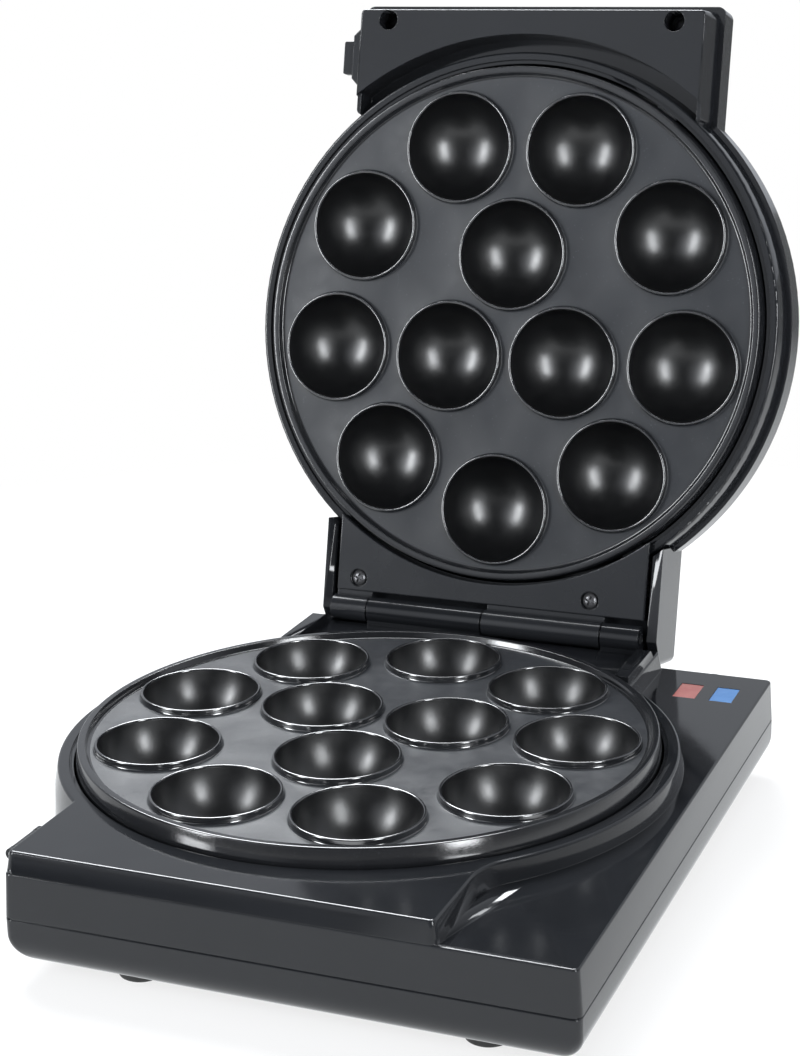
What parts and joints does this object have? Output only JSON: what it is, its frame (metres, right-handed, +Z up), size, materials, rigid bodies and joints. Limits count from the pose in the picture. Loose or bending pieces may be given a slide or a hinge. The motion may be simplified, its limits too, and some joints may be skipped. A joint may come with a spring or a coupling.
{
  "type": "cake pop maker",
  "caption": "Table-top maker of ball-shaped cakes: a squarish base with a round cup plate, a control strip with lamps, and a hinged lid with a matching plate and a side clip.",
  "frame": {"origin": "on the table, under the middle of the whole object with its lid open", "axes": "+X to the right towards the control strip, +Y back towards the hinge, +Z up"},
  "size_m": [0.216, 0.3162, 0.2704],
  "materials": {
    "gloss_black": "polished moulded ABS",
    "matte_black": "moulded nylon",
    "nonstick": "satin non-stick coating on cast aluminium",
    "steel": "zinc plated",
    "aluminised": "pressed aluminised sheet",
    "rubber": "matt",
    "red_lens": "translucent",
    "blue_lens": "translucent",
    "clear_bulb": "clear",
    "board": "circuit board laminate",
    "phenolic": "moulded phenolic",
    "insulation": "silicone sleeve"
  },
  "bodies": {
    "base": {"base_lower_shell": "gloss_black", "base_upper_housing": "gloss_black", "blue_lamp_bulb": "clear_bulb", "blue_lamp_lens": "blue_lens", "cord_gland": "matte_black", "heater_wire": "insulation", "hinge_pin": "steel", "housing_screws": "steel", "lamp_board": "board", "lamp_board_screws": "steel", "latch_pin": "steel", "live_wire": "insulation", "lower_clamp_screws": "steel", "lower_heater_clamps": "aluminised", "lower_heating_element": "steel", "lower_pan_ear_screws": "steel", "lower_plate": "nonstick", "lower_plate_screws": "steel", "lower_reflector_pan": "aluminised", "lower_thermal_fuse": "aluminised", "neutral_wire": "insulation", "red_lamp_bulb": "clear_bulb", "red_lamp_lens": "red_lens", "rubber_feet": "rubber", "terminal_block": "phenolic", "terminal_screws": "steel", "thermostat": "phenolic"},
    "lid": {"lid_front_screws": "steel", "lid_hinge_cover": "gloss_black", "lid_hinge_screws": "steel", "lid_inner_housing": "gloss_black", "lid_outer_cover": "gloss_black", "upper_clamp_screws": "steel", "upper_heater_clamps": "aluminised", "upper_heating_element": "steel", "upper_pan_ear_screws": "steel", "upper_plate": "nonstick", "upper_plate_screws": "steel", "upper_reflector_pan": "aluminised", "upper_thermal_fuse": "aluminised"},
    "clip": {"latch_clip": "gloss_black"}
  },
  "joints": [
    {"name": "lid_hinge", "type": "hinge", "parent": "base", "child": "lid", "pos_m": [-0.00275, 0.07285, 0.04665], "axis": [1, 0, 0], "range_deg": [0, 103.4]},
    {"name": "clip_swing", "type": "hinge", "parent": "base", "child": "clip", "pos_m": [-0.07535, -0.13934, 0.0367], "axis": [0, 1, 0], "range_deg": [0, 180]}
  ]
}
